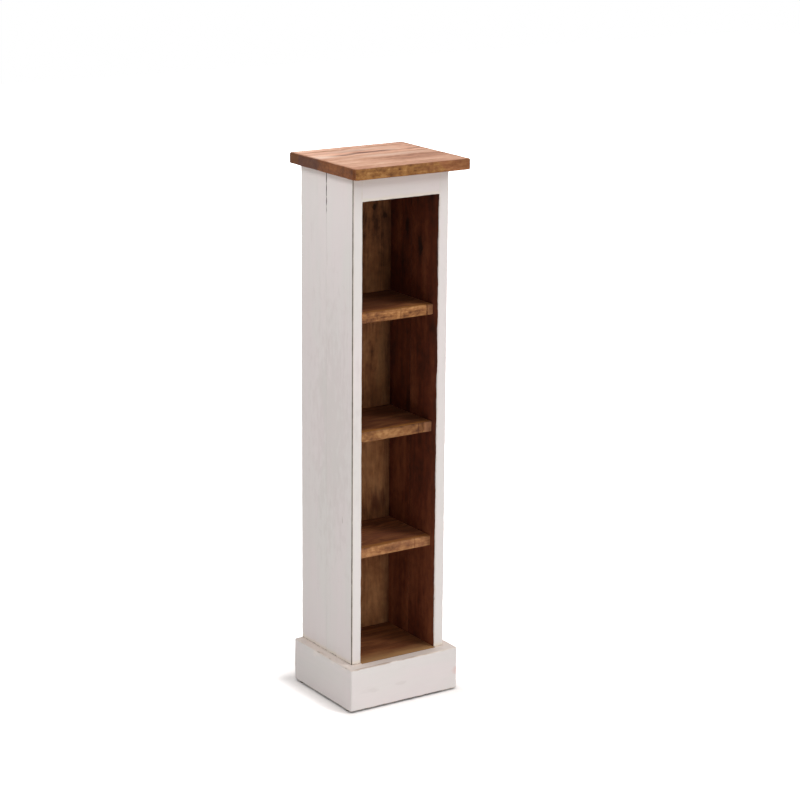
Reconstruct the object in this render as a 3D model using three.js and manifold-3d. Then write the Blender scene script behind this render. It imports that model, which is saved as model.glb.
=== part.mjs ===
// Narrow open storage tower of solid wood: a stained top with rounded corners, two sides of
// edge-glued boards painted outside and stained inside, three fixed shelves set back from the
// front, a front rail under the top, a boarded back and a mitred plinth on four felt pads.
// Millimetres, +Z up, the front towards -Y, the origin on the floor under the middle of the top.
import * as THREE from "three";
import { mergeVertices } from "three/addons/utils/BufferGeometryUtils.js";
import Module from "manifold-3d";

const wasm = await Module();
wasm.setup();

// Overall height and the line of glue between two boards
const overallHeight = 750;
const jointGap = 0.1;

// Top
const topWidth = 180;
const topDepth = 166;
const topThickness = 15;
const topRearBoardDepth = 68.5;
const topRearOverhang = 5.5;
const topCornerRadius = 5;
const topArris = 1.5;

// Sides, rail and back
const compartmentWidth = 120;
const bodyDepth = 131.5;
const sideThickness = 15;
const boardArris = 1;
const railHeight = 34.5;
const railThickness = 15;
const backThickness = 14.5;

// Shelves, counted from below; the top compartment takes the height that is left
const shelfThickness = 14.5;
const shelfSetback = 12;
const lowestCompartmentHeight = 145;
const middleCompartmentHeight = 149;

// Plinth, base board and pads
const plinthWidth = 174;
const plinthBoardHeight = 60.5;
const plinthThickness = 14.5;
const plinthFrontLedge = 18;
const plinthArris = 1.5;
const baseThickness = 15;
const padThickness = 2;
const padDiameter = 12;
const padEdgeInset = 14;

// Dowels
const dowelDiameter = 6;
const dowelChamfer = 0.8;
const dowelClearance = 0.35;
const dowelBlindDepth = 9;
const shelfDowelLength = 28;
const railDowelLength = 28;
const topDowelLength = 32;
const plinthDowelLength = 24;

// Countersunk screws under the base board
const screwLength = 35;
const screwDiameter = 3.5;
const screwHeadDiameter = 7;
const screwHeadHeight = 2.4;
const screwHeadRim = 0.4;
const screwHeadSink = 0.5;
const screwTipLength = 4;
const screwTipDiameter = 0.6;
const screwClearance = 0.3;
const recessWidth = 0.9;
const recessSpan = 3.6;
const recessDepth = 1.4;

// Nails through the back boards into the shelves
const nailLength = 35;
const nailDiameter = 1.6;
const nailHeadDiameter = 3.2;
const nailHeadThickness = 0.7;
const nailTipLength = 2.5;
const nailTipDiameter = 0.3;
const nailClearance = 0.3;

// How far a cutting tool runs past the face that it opens
const cutOverrun = 1;

// Places of fasteners as shares of the board that carries them
const sideDowelShares = [0.13, 0.9];
const frontDowelShares = [0.25, 0.75];

// Facets of round forms
const arrisSegments = 3;
const cornerSegments = 6;
const roundSides = 16;
const nailSides = 8;
const padSides = 32;

// Levels
const padTop = padThickness;
const plinthBottom = padTop + jointGap;
const plinthTop = plinthBottom + plinthBoardHeight;
const baseBottom = plinthTop - baseThickness;
const bodyBottom = plinthTop + jointGap;
const topUnderside = overallHeight - topThickness;
const bodyTop = topUnderside - jointGap;
const railBottom = topUnderside - railHeight;
const shelfPitch = middleCompartmentHeight + shelfThickness;
const shelves = ["lower_shelf", "middle_shelf", "upper_shelf"].map((name, index) => {
  const bottom = plinthTop + lowestCompartmentHeight + index * shelfPitch;
  return { name, bottom, top: bottom + shelfThickness };
});

// Planes across the depth and the width
const topRear = topDepth / 2;
const topFront = -topRear;
const topSeam = topRear - topRearBoardDepth;
const bodyRear = topRear - topRearOverhang;
const bodyFront = bodyRear - bodyDepth;
const sideSeam = (bodyFront + bodyRear) / 2;
const backFace = bodyRear - backThickness;
const plinthFront = bodyFront - plinthFrontLedge;
const baseFront = plinthFront + plinthThickness + jointGap;
const innerHalf = compartmentWidth / 2;
const outerHalf = innerHalf + sideThickness;
const plinthHalf = plinthWidth / 2;
const baseHalf = plinthHalf - plinthThickness - jointGap;

// Centre lines of the two boards that make up each side
const frontBoardMiddle = (bodyFront + sideSeam) / 2;
const rearBoardMiddle = (sideSeam + bodyRear) / 2;
const sideMiddle = (innerHalf + outerHalf) / 2;

// Finishes

function finish(name, color, roughness, metalness = 0) {
  return new THREE.MeshStandardMaterial({ name, color, roughness, metalness });
}

const topWood = finish("top_wood", 0xa9744f, 0.6);
const innerWood = finish("inner_wood", 0x6e4526, 0.65);
const shelfWood = finish("shelf_wood", 0xa8804f, 0.65);
const paintedWood = finish("painted_wood", 0xe2dad5, 0.55);
const beech = finish("beech", 0xd0a878, 0.7);
const steel = finish("steel", 0xa9abad, 0.35, 1);
const felt = finish("felt", 0x4a4039, 0.95);

const tower = new THREE.Group();
tower.name = "storage_tower";

// Solids and meshes

function toSolid(geometry) {
  const bare = geometry.clone();
  bare.deleteAttribute("normal");
  bare.deleteAttribute("uv");
  const merged = mergeVertices(bare);
  const vertProperties = new Float32Array(merged.attributes.position.array);
  const triVerts = new Uint32Array(merged.index.array);
  return new wasm.Manifold(new wasm.Mesh({ numProp: 3, vertProperties, triVerts }));
}

function toGeometry(solid) {
  const mesh = solid.getMesh();
  const geometry = new THREE.BufferGeometry();
  geometry.setAttribute("position", new THREE.BufferAttribute(new Float32Array(mesh.vertProperties), 3));
  geometry.setIndex(new THREE.BufferAttribute(new Uint32Array(mesh.triVerts), 1));
  geometry.computeVertexNormals();
  return geometry;
}

function cut(geometry, tools) {
  let solid = toSolid(geometry);
  for (const tool of tools) {
    solid = solid.subtract(toSolid(tool));
  }
  return toGeometry(solid);
}

function add(name, geometry, material) {
  const mesh = new THREE.Mesh(geometry, material);
  mesh.name = name;
  tower.add(mesh);
  return mesh;
}

// A rectangle from low to high with its own radius at each corner, counter-clockwise from the lowest
function sectionShape(low, high, radii) {
  const [x0, y0] = low;
  const [x1, y1] = high;
  const quarter = Math.PI / 2;
  const corners = [
    { x: x0, y: y0, inX: 1, inY: 1, start: 2 * quarter },
    { x: x1, y: y0, inX: -1, inY: 1, start: 3 * quarter },
    { x: x1, y: y1, inX: -1, inY: -1, start: 0 },
    { x: x0, y: y1, inX: 1, inY: -1, start: quarter },
  ];
  const points = [];
  corners.forEach((corner, index) => {
    const radius = radii[index];
    if (radius === 0) {
      points.push(new THREE.Vector2(corner.x, corner.y));
      return;
    }
    for (let step = 0; step <= arrisSegments; step += 1) {
      const angle = corner.start + (quarter * step) / arrisSegments;
      const x = corner.x + radius * (corner.inX + Math.cos(angle));
      const y = corner.y + radius * (corner.inY + Math.sin(angle));
      points.push(new THREE.Vector2(x, y));
    }
  });
  return new THREE.Shape(points);
}

// Boards whose section is extruded along the grain: upright, across the width, or front to back

function uprightBoard(x, y, z, radii) {
  const section = sectionShape([x[0], y[0]], [x[1], y[1]], radii);
  const geometry = new THREE.ExtrudeGeometry(section, { depth: z[1] - z[0], bevelEnabled: false });
  return geometry.translate(0, 0, z[0]);
}

function crosswiseBoard(x, y, z, radii) {
  const section = sectionShape([y[0], z[0]], [y[1], z[1]], radii);
  const geometry = new THREE.ExtrudeGeometry(section, { depth: x[1] - x[0], bevelEnabled: false });
  const axes = new THREE.Matrix4().set(0, 0, 1, x[0], 1, 0, 0, 0, 0, 1, 0, 0, 0, 0, 0, 1);
  return geometry.applyMatrix4(axes);
}

function lengthwiseBoard(x, y, z, radii) {
  const section = sectionShape([z[0], x[0]], [z[1], x[1]], radii);
  const geometry = new THREE.ExtrudeGeometry(section, { depth: y[1] - y[0], bevelEnabled: false });
  const axes = new THREE.Matrix4().set(0, 1, 0, 0, 0, 0, 1, y[0], 1, 0, 0, 0, 0, 0, 0, 1);
  return geometry.applyMatrix4(axes);
}

// A drill along one axis: from the centre point, as long before it as after it
const drillAxes = {
  x: new THREE.Matrix4().makeRotationZ(-Math.PI / 2),
  y: new THREE.Matrix4(),
  z: new THREE.Matrix4().makeRotationX(Math.PI / 2),
};

function drill(axis, centre, diameter, length) {
  const radius = diameter / 2;
  const geometry = new THREE.CylinderGeometry(radius, radius, length, roundSides);
  return geometry.applyMatrix4(drillAxes[axis]).translate(...centre);
}

// The holes of all fasteners, which are cut out of every board that they reach
const holes = [];

// Dowels: a chamfered pin through the face between two boards, in a blind hole in each of them

function addDowel(name, axis, centre, length) {
  const radius = dowelDiameter / 2;
  const half = length / 2;
  const profile = [
    new THREE.Vector2(0, -half),
    new THREE.Vector2(radius - dowelChamfer, -half),
    new THREE.Vector2(radius, -half + dowelChamfer),
    new THREE.Vector2(radius, half - dowelChamfer),
    new THREE.Vector2(radius - dowelChamfer, half),
    new THREE.Vector2(0, half),
  ];
  const geometry = new THREE.LatheGeometry(profile, roundSides).applyMatrix4(drillAxes[axis]);
  add(name, geometry, beech).position.set(...centre);
  holes.push(drill(axis, centre, dowelDiameter + 2 * dowelClearance, length + 2 * dowelClearance));
}

const sideNames = [
  { side: "left", sign: -1 },
  { side: "right", sign: 1 },
];
const depthNames = [
  { end: "front", y: frontBoardMiddle },
  { end: "rear", y: rearBoardMiddle },
];

// The dowel's blind part is in the side board, the rest in the piece between the sides
const shelfDowelMiddle = innerHalf + dowelBlindDepth - shelfDowelLength / 2;
const railDowelMiddle = innerHalf + dowelBlindDepth - railDowelLength / 2;
const topDowelMiddle = topUnderside + dowelBlindDepth - topDowelLength / 2;
const plinthDowelMiddle = plinthDowelLength / 2 - dowelBlindDepth;
const baseMiddle = (baseBottom + plinthTop) / 2;

for (const shelf of shelves) {
  for (const { side, sign } of sideNames) {
    for (const { end, y } of depthNames) {
      const centre = [sign * shelfDowelMiddle, y, (shelf.bottom + shelf.top) / 2];
      addDowel(`${shelf.name}_dowel_${side}_${end}`, "x", centre, shelfDowelLength);
    }
  }
}
for (const { side, sign } of sideNames) {
  const railCentre = [sign * railDowelMiddle, bodyFront + railThickness / 2, (railBottom + bodyTop) / 2];
  addDowel(`rail_dowel_${side}`, "x", railCentre, railDowelLength);
  for (const { end, y } of depthNames) {
    addDowel(`top_dowel_${side}_${end}`, "z", [sign * sideMiddle, y, topDowelMiddle], topDowelLength);
  }
  sideDowelShares.forEach((share, index) => {
    const y = THREE.MathUtils.lerp(baseFront, bodyRear, share);
    const centre = [sign * (baseHalf - plinthDowelMiddle), y, baseMiddle];
    addDowel(`plinth_dowel_${side}_${depthNames[index].end}`, "x", centre, plinthDowelLength);
  });
}
frontDowelShares.forEach((share, index) => {
  const x = THREE.MathUtils.lerp(-baseHalf, baseHalf, share);
  const centre = [x, baseFront + plinthDowelMiddle, baseMiddle];
  addDowel(`plinth_dowel_front_${sideNames[index].side}`, "y", centre, plinthDowelLength);
});

// Screws: up through the base board into the ends of the sides and the back

const screwHeadBottom = baseBottom + screwHeadSink;

function screwHole(x, y) {
  const shaftRadius = screwDiameter / 2 + screwClearance;
  const headRadius = screwHeadDiameter / 2 + screwClearance;
  const profile = [
    new THREE.Vector2(0, -screwHeadSink - cutOverrun),
    new THREE.Vector2(headRadius, -screwHeadSink - cutOverrun),
    new THREE.Vector2(headRadius, screwHeadRim),
    new THREE.Vector2(shaftRadius, screwHeadHeight),
    new THREE.Vector2(shaftRadius, screwLength + screwClearance),
    new THREE.Vector2(0, screwLength + screwClearance),
  ];
  const geometry = new THREE.LatheGeometry(profile, roundSides).rotateX(Math.PI / 2);
  return geometry.translate(x, y, screwHeadBottom);
}

function addScrew(name, x, y) {
  const radius = screwDiameter / 2;
  const profile = [
    new THREE.Vector2(0, 0),
    new THREE.Vector2(screwHeadDiameter / 2, 0),
    new THREE.Vector2(screwHeadDiameter / 2, screwHeadRim),
    new THREE.Vector2(radius, screwHeadHeight),
    new THREE.Vector2(radius, screwLength - screwTipLength),
    new THREE.Vector2(screwTipDiameter / 2, screwLength),
    new THREE.Vector2(0, screwLength),
  ];
  const body = new THREE.LatheGeometry(profile, roundSides).rotateX(Math.PI / 2);
  const bladeHeight = recessDepth + cutOverrun;
  const bladeMiddle = recessDepth - bladeHeight / 2;
  const recess = [
    new THREE.BoxGeometry(recessSpan, recessWidth, bladeHeight).translate(0, 0, bladeMiddle),
    new THREE.BoxGeometry(recessWidth, recessSpan, bladeHeight).translate(0, 0, bladeMiddle),
  ];
  add(name, cut(body, recess), steel).position.set(x, y, screwHeadBottom);
  holes.push(screwHole(x, y));
}

const screwSideLine = (innerHalf + baseHalf) / 2;
const backBoardMiddle = innerHalf / 2;
const backMiddle = (backFace + bodyRear) / 2;
for (const { side, sign } of sideNames) {
  for (const { end, y } of depthNames) {
    addScrew(`base_screw_${side}_${end}`, sign * screwSideLine, y);
  }
  addScrew(`base_screw_back_${side}`, sign * backBoardMiddle, backMiddle);
}

// Nails: through each back board into the rear edge of each shelf, heads level with the back

function nailProfile(clearance, headRun) {
  const headRadius = nailHeadDiameter / 2 + clearance;
  const shaftRadius = nailDiameter / 2 + clearance;
  return [
    new THREE.Vector2(0, -headRun),
    new THREE.Vector2(headRadius, -headRun),
    new THREE.Vector2(headRadius, nailHeadThickness + clearance),
    new THREE.Vector2(shaftRadius, nailHeadThickness + clearance),
    new THREE.Vector2(shaftRadius, nailLength - nailTipLength),
    new THREE.Vector2(nailTipDiameter / 2 + clearance, nailLength + clearance),
    new THREE.Vector2(0, nailLength + clearance),
  ];
}

// The lathe's axis is Y, so half a turn about Z points it from the back towards the front
function nailGeometry(clearance, headRun) {
  return new THREE.LatheGeometry(nailProfile(clearance, headRun), nailSides).rotateZ(Math.PI);
}

for (const shelf of shelves) {
  for (const { side, sign } of sideNames) {
    const place = [sign * backBoardMiddle, bodyRear, (shelf.bottom + shelf.top) / 2];
    add(`${shelf.name}_nail_${side}`, nailGeometry(0, 0), steel).position.set(...place);
    holes.push(nailGeometry(nailClearance, cutOverrun).translate(...place));
  }
}

// A board with the holes of the fasteners that reach into it
function drilled(geometry) {
  geometry.computeBoundingBox();
  const tools = holes.filter((hole) => {
    hole.computeBoundingBox();
    return hole.boundingBox.intersectsBox(geometry.boundingBox);
  });
  return cut(geometry, tools);
}

// The lowest and highest x of a piece that lies between two distances from the middle plane
function spanOn(sign, inner, outer) {
  return sign < 0 ? [-outer, -inner] : [inner, outer];
}

// Top: one rounded slab, sawn into a front and a rear board along the glue line

function topSlab() {
  const halfWidth = topWidth / 2 - topArris;
  const halfDepth = topDepth / 2 - topArris;
  const radius = topCornerRadius - topArris;
  const outline = new THREE.Shape();
  outline.moveTo(-halfWidth + radius, -halfDepth);
  outline.lineTo(halfWidth - radius, -halfDepth);
  outline.absarc(halfWidth - radius, -halfDepth + radius, radius, -Math.PI / 2, 0);
  outline.lineTo(halfWidth, halfDepth - radius);
  outline.absarc(halfWidth - radius, halfDepth - radius, radius, 0, Math.PI / 2);
  outline.lineTo(-halfWidth + radius, halfDepth);
  outline.absarc(-halfWidth + radius, halfDepth - radius, radius, Math.PI / 2, Math.PI);
  outline.lineTo(-halfWidth, -halfDepth + radius);
  outline.absarc(-halfWidth + radius, -halfDepth + radius, radius, Math.PI, 1.5 * Math.PI);
  const geometry = new THREE.ExtrudeGeometry(outline, {
    depth: topThickness - 2 * topArris,
    bevelThickness: topArris,
    bevelSize: topArris,
    bevelSegments: arrisSegments,
    curveSegments: cornerSegments,
  });
  return geometry.translate(0, 0, topUnderside + topArris);
}

// Everything between two planes across the depth, taller and wider than the top
function depthSlice(yLow, yHigh) {
  const width = topWidth + 2 * cutOverrun;
  const height = topThickness + 2 * cutOverrun;
  const geometry = new THREE.BoxGeometry(width, yHigh - yLow, height);
  return geometry.translate(0, (yLow + yHigh) / 2, topUnderside + topThickness / 2);
}

const slab = topSlab();
const frontOfSeam = depthSlice(topFront - cutOverrun, topSeam + jointGap / 2);
const rearOfSeam = depthSlice(topSeam - jointGap / 2, topRear + cutOverrun);
add("top_board_front", drilled(cut(slab, [rearOfSeam])), topWood);
add("top_board_rear", drilled(cut(slab, [frontOfSeam])), topWood);

// Sides: a front and a rear board each, glued edge to edge

for (const { side, sign } of sideNames) {
  const x = spanOn(sign, innerHalf, outerHalf);
  const z = [bodyBottom, bodyTop];
  const frontRadii = [boardArris, boardArris, 0, 0];
  const rearRadii = sign < 0 ? [0, 0, 0, boardArris] : [0, 0, boardArris, 0];
  const frontY = [bodyFront, sideSeam - jointGap / 2];
  const rearY = [sideSeam + jointGap / 2, bodyRear];
  add(`${side}_side_front_board`, drilled(uprightBoard(x, frontY, z, frontRadii)), paintedWood);
  add(`${side}_side_rear_board`, drilled(uprightBoard(x, rearY, z, rearRadii)), paintedWood);
}

// Rail under the front of the top, level with the front edges of the sides

const spanX = [-innerHalf + jointGap, innerHalf - jointGap];
const railY = [bodyFront, bodyFront + railThickness];
const railRadii = [boardArris, 0, 0, 0];
add("top_rail", drilled(crosswiseBoard(spanX, railY, [railBottom, bodyTop], railRadii)), paintedWood);

// Back: two upright boards between the sides

const backY = [backFace, bodyRear];
const squareRadii = [0, 0, 0, 0];
for (const { side, sign } of sideNames) {
  const x = spanOn(sign, jointGap / 2, innerHalf - jointGap);
  const board = uprightBoard(x, backY, [bodyBottom, bodyTop], squareRadii);
  add(`back_board_${side}`, drilled(board), innerWood);
}

// Shelves

const shelfY = [bodyFront + shelfSetback, backFace - jointGap];
for (const shelf of shelves) {
  const radii = [boardArris, 0, 0, boardArris];
  add(shelf.name, drilled(crosswiseBoard(spanX, shelfY, [shelf.bottom, shelf.top], radii)), shelfWood);
}

// Base board, let into the plinth level with its top edge

const baseX = [-baseHalf, baseHalf];
const baseY = [baseFront, bodyRear];
const baseBoard = crosswiseBoard(baseX, baseY, [baseBottom, plinthTop], squareRadii);
add("base_board", drilled(baseBoard), innerWood);

// Plinth: a front board and two side boards, mitred at the front corners

const plinthZ = [plinthBottom, plinthTop];

// An upright wedge on the far side of the mitre plane, which runs from the plinth's outer corner
// inwards at 45 degrees; reach is how far the wedge goes along and past the mitre
function mitreWedge(sign, outwards) {
  const reach = plinthThickness + cutOverrun;
  const shift = outwards * (jointGap / 2) * Math.SQRT1_2;
  const cornerX = sign * (plinthHalf - shift);
  const cornerY = plinthFront - shift;
  const start = new THREE.Vector2(cornerX + sign * cutOverrun, cornerY - cutOverrun);
  const end = new THREE.Vector2(cornerX - sign * reach, cornerY + reach);
  const far = outwards > 0 ? new THREE.Vector2(start.x, end.y) : new THREE.Vector2(end.x, start.y);
  const loop = new THREE.Shape([start, end, far]);
  const height = plinthBoardHeight + 2 * cutOverrun;
  const geometry = new THREE.ExtrudeGeometry(loop, { depth: height, bevelEnabled: false });
  return geometry.translate(0, 0, plinthBottom - cutOverrun);
}

const plinthFrontY = [plinthFront, plinthFront + plinthThickness];
const plinthFrontRadii = [plinthArris, 0, 0, plinthArris];
const plinthFrontBoard = crosswiseBoard([-plinthHalf, plinthHalf], plinthFrontY, plinthZ, plinthFrontRadii);
const frontMitres = sideNames.map(({ sign }) => mitreWedge(sign, 1));
add("plinth_front", drilled(cut(plinthFrontBoard, frontMitres)), paintedWood);

for (const { side, sign } of sideNames) {
  const x = spanOn(sign, plinthHalf - plinthThickness, plinthHalf);
  const radii = sign < 0 ? [plinthArris, plinthArris, 0, 0] : [0, 0, plinthArris, plinthArris];
  const board = lengthwiseBoard(x, [plinthFront, bodyRear], plinthZ, radii);
  add(`plinth_${side}`, drilled(cut(board, [mitreWedge(sign, -1)])), paintedWood);
}

// Felt pads under the four corners of the plinth

const padX = plinthHalf - plinthThickness / 2;
const padRows = [
  { end: "front", y: plinthFront + padEdgeInset },
  { end: "rear", y: bodyRear - padEdgeInset },
];
for (const { side, sign } of sideNames) {
  for (const { end, y } of padRows) {
    const geometry = new THREE.CylinderGeometry(padDiameter / 2, padDiameter / 2, padThickness, padSides);
    geometry.rotateX(Math.PI / 2);
    add(`pad_${end}_${side}`, geometry, felt).position.set(sign * padX, y, padThickness / 2);
  }
}

export default tower;
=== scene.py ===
"""Looks of a narrow open storage tower of solid wood: stained top, shelves and inside, white outside.

Metres. X runs to the right, the open front faces -Y, Z is up, and the origin is on the floor.
"""
import math

import bpy
from mathutils import Matrix, Vector, noise


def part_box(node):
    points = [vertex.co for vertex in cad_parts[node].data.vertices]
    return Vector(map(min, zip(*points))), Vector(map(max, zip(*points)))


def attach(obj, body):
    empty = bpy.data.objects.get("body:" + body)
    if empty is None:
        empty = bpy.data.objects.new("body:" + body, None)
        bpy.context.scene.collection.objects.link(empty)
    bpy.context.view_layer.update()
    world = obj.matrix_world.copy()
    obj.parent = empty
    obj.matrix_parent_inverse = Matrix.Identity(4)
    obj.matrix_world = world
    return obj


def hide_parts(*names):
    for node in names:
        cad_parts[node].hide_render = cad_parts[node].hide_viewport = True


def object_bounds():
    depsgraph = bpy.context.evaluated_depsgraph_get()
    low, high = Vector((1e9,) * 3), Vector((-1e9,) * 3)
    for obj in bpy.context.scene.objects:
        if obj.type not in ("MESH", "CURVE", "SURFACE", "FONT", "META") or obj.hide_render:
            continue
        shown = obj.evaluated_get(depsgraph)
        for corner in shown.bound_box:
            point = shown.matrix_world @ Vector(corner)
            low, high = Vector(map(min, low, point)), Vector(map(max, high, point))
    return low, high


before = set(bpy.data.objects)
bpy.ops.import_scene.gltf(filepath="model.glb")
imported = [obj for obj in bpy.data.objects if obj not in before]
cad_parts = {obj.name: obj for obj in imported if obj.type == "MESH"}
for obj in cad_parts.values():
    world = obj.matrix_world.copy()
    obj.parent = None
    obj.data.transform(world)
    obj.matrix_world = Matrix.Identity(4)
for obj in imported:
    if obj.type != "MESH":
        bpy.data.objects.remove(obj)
cad_low, cad_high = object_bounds()

MM = 0.001


def mm(*values):
    """Lengths in metres from millimetres."""
    return tuple(value * MM for value in values)


# Shape of the boards
arris_reach = 1.1 * MM
top_arris_reach = 2.4 * MM
plinth_arris_reach = 1.6 * MM
shelf_arris_reach = 1.8 * MM
base_arris_reach = 0.3 * MM
tight_reach = 0.2 * MM
flush_reach = 0.01 * MM
paint_over_joint = 3 * MM
rail_end_margin = 1 * MM
rail_joint_lines = (-2 * arris_reach, *mm(-0.2, 0.2))
tongue_reach = 0.25 * MM
tongue_from = 3 * MM
closed_reach = 0.08 * MM
top_near_radius = 6.5 * MM
top_corner_radius = 2.8 * MM
plinth_corner_radius = 2.2 * MM
arris_waver = 0.45
arris_waver_scale = 55

fine_insets = mm(0, 0.15, 0.35, 0.6, 0.9, 1.3, 1.9, 2.8, 4.2)
corner_insets = mm(0, 0.25, 0.6, 1, 1.5, 2.1, 2.8, 3.6, 4.5, 5.5, 6.5, 7.8)
along_spacing = 6 * MM
across_spacing = 4.5 * MM
least_step = 0.08 * MM
on_face = 0.01 * MM
sharp_from_degrees = 42

wave_height = 0.13 * MM
wave_scale = (9, 34)
ripple_height = 0.05 * MM
ripple_scale = (30, 120)
knock_depth = 0.9 * MM
knock_scale = 70
knock_start = 0.22
knock_reach = 1.8 * MM
held_reach = 3 * MM

# The side seams, open only under the top
seam_opening = 1.0 * MM
seam_open_from = 0.655
seam_open_to = 0.700
seam_waver_scale = 140
seam_open_least = 0.1
seam_open_usual = 0.8
seam_open_waver = 1.8
seam_flare_reach = 1.2 * MM
seam_dark_reach = 0.7 * MM
seam_dark_least = 0.12

# Fasteners that show at the back and from below
nail_dent_radius = 3.4 * MM
nail_dent_depth = 0.7 * MM
screw_sink_clearance = 0.25 * MM
dent_lines = mm(-3.6, -2.9, -2.3, -1.7, -1, 0, 1, 1.7, 2.3, 2.9, 3.6)
sink_lines = mm(-4.2, -3.9, -3.6, -3.2, -2.6, -1.8, 0, 1.8, 2.6, 3.2, 3.6, 3.9, 4.2)

# Camera, fitted to the straight edges of the photograph
view_azimuth = -33.18
view_elevation = 15.04
view_roll = 0.471
view_distance = 3.3115
view_offset = (0.0302, 0.0378)
view_focal_pixels = 2428.1
view_width_pixels = 800
view_clip_end = 50
sensor_width_mm = 36

# Figure of the wood, gloss, and places of what is special to the top
top_front_pith = (0, -0.03, 0.69)
top_rear_pith = (0, 0.06, 0.70)
ring_gap = 3.4 * MM
grain_sway = 3.5 * MM
wood_gloss = 0.1
paint_gloss = 0.3
# Painted shade inside the tower: the lift at the top and at the foot, and the heights where each is
# reached
painted_shade_lifts = (-0.09, 0.1)
painted_shade_heights = (0.68, 0.1)
rim_diagonal_x = 35.3 * MM
rim_diagonal_slope = 1.134
plum_end_y = mm(9.5, 58)
shelf_pith_below = 40 * MM

# Where a finish changes: two distances from an edge, a face or an arris, between which it does
paint_gone_at_ledge = mm(-1.5, -0.4)
ledge_foot_line = mm(1.7, 0.5)
# Painted warm bounce light at the foot of a painted board
warm_bounce_reach = mm(7, 1)
joint_line = mm(0.9, 0.2)
aged_paint = mm(3.2, 0.6)
rubbed_through = mm(1.25, 0.7)
rubbed_wood = mm(1.8, 0.3)
paint_edge = mm(0.8, 1.3)
paler_wall = mm(24, 2)
# Painted shade on the back boards next to the side walls
painted_corner_shade_reach = mm(-19, 0)
inner_face = mm(3, 1)
redder_past = mm(-3, 4)
plum_begins = mm(-4, 4)
plum_ends = mm(5, -3)
orange_begins = mm(-2, 4)
end_face = mm(-3, -1.2)
tan_near_end = mm(-8, -3)
rim_below = mm(-0.3, -1.1)
rim_round_arris = mm(2.2, 0.9)
# Painted light along a shelf's front, and painted shade towards its back
painted_front_light_reach = mm(12, 3)
painted_rear_shade_reach = mm(9, 36)
shelf_edge = mm(2.2, 0.8)
block_edge = mm(0, 1)
dark_line = mm(1.3, 0.4)
sill_line_at = mm(1.8, 0.6)
sill_beside = mm(-0.5, 0.5)
sill_ahead = mm(1, -0.2)
sill_tan_from = 30 * MM

# How far noise moves those places to and fro, and how deep a finish's relief is
foot_waver = 0.5 * MM
cream_waver = 1.5 * MM
rub_waver = 0.25 * MM
paint_edge_waver = 1.7 * MM
rim_change_waver = 4 * MM
rim_waver = 0.35 * MM
tan_waver = 2 * MM
over_waver = 0.7 * MM
corner_waver = 3 * MM
shelf_waver = 5 * MM
shelf_edge_waver = 0.8 * MM
sill_waver = 6 * MM
pith_bends = mm(6, 11)
paint_relief = 0.1 * MM
wood_relief = 0.12 * MM

# Floor and the light from all round
floor_half = 6.0
floor_shade_between = (0.0, 0.032)
floor_glow_between = (0.05, 0.4)
world_strength = 0.5

# Lamps: place, size and power
lamps = {
    "key": ((1.9, -2.4, 3.6), (1.8, 1.8), 41),
    "lower_key": ((2.1, -2.7, 2.2), (0.5, 0.5), 27.5),
    "fill": ((-0.45, -0.05, 0.99), (0.12, 0.12), 0.74),
    "low": ((-0.55, -0.75, 0.12), (0.5, 0.16), 1.1),
}

FACES = {"x-": (0, 0), "x+": (0, 1), "y-": (1, 0), "y+": (1, 1), "z-": (2, 0), "z+": (2, 1)}
AXES = "xyz"
FAR = 1.0


def srgb(red, green, blue):
    """A linear colour from the usual 0 to 255 values."""
    def linear(value):
        value /= 255
        return value / 12.92 if value <= 0.04045 else ((value + 0.055) / 1.055) ** 2.4
    return (linear(red), linear(green), linear(blue), 1)


def shaded(colours, factor):
    return [tuple(value * factor for value in colour[:3]) + (1,) for colour in colours]


def smooth_step(value, start, end):
    share = min(1, max(0, (value - start) / (end - start)))
    return share * share * (3 - 2 * share)


# Meshes
def spread(low, high, spacing, insets, extra):
    """Places from low to high: close together near both ends and at the extra ones."""
    last = insets[-1]
    places = {low + inset for inset in insets if inset < (high - low) / 2}
    places |= {high - inset for inset in insets if inset < (high - low) / 2}
    steps = max(2, round((high - low) / spacing))
    for step in range(1, steps):
        place = low + (high - low) * step / steps
        if low + last < place < high - last:
            places.add(place)
    places |= {place for place in extra if low < place < high}
    kept = [low]
    for place in sorted(places):
        if place - kept[-1] > least_step and high - place > least_step:
            kept.append(place)
    return kept + [high]


def box_grid(lines):
    """Points and outward quads of a closed box, cut at the given places along x, y and z."""
    index = {}
    points = []
    quads = []

    def corner(place):
        if place not in index:
            index[place] = len(points)
            points.append([lines[axis][place[axis]] for axis in range(3)])
        return index[place]

    for axis in range(3):
        u, v = (axis + 1) % 3, (axis + 2) % 3
        for end in (0, len(lines[axis]) - 1):
            for i in range(len(lines[u]) - 1):
                for j in range(len(lines[v]) - 1):
                    around = [(i, j), (i + 1, j), (i + 1, j + 1), (i, j + 1)]
                    if end == 0:
                        around.reverse()
                    quad = []
                    for a, b in around:
                        place = [end, end, end]
                        place[u], place[v] = a, b
                        quad.append(corner(tuple(place)))
                    quads.append(quad)
    return points, quads


def rounded(point, low, high, reach, square_plan):
    """A point of a box's surface, moved to where the box with rounded arrises has it.

    reach(face) says how far the rounding goes in from a face. With square_plan the upright
    arrises stay square, for plan_corner to round.
    """
    centre = list(point)
    radius = [1.0, 1.0, 1.0]
    offset = [0.0, 0.0, 0.0]
    for axis in range(3):
        near, far = reach(AXES[axis] + "-"), reach(AXES[axis] + "+")
        if near and point[axis] < low[axis] + near:
            centre[axis], radius[axis] = low[axis] + near, near
        elif far and point[axis] > high[axis] - far:
            centre[axis], radius[axis] = high[axis] - far, far
        else:
            continue
        offset[axis] = (point[axis] - centre[axis]) / radius[axis]
    plan = max(abs(offset[0]), abs(offset[1])) if square_plan else math.hypot(offset[0], offset[1])
    length = math.hypot(plan, offset[2])
    if length == 0:
        return point
    scale = max(abs(value) for value in offset) / length
    return [centre[axis] + offset[axis] * scale * radius[axis] for axis in range(3)]


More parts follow.
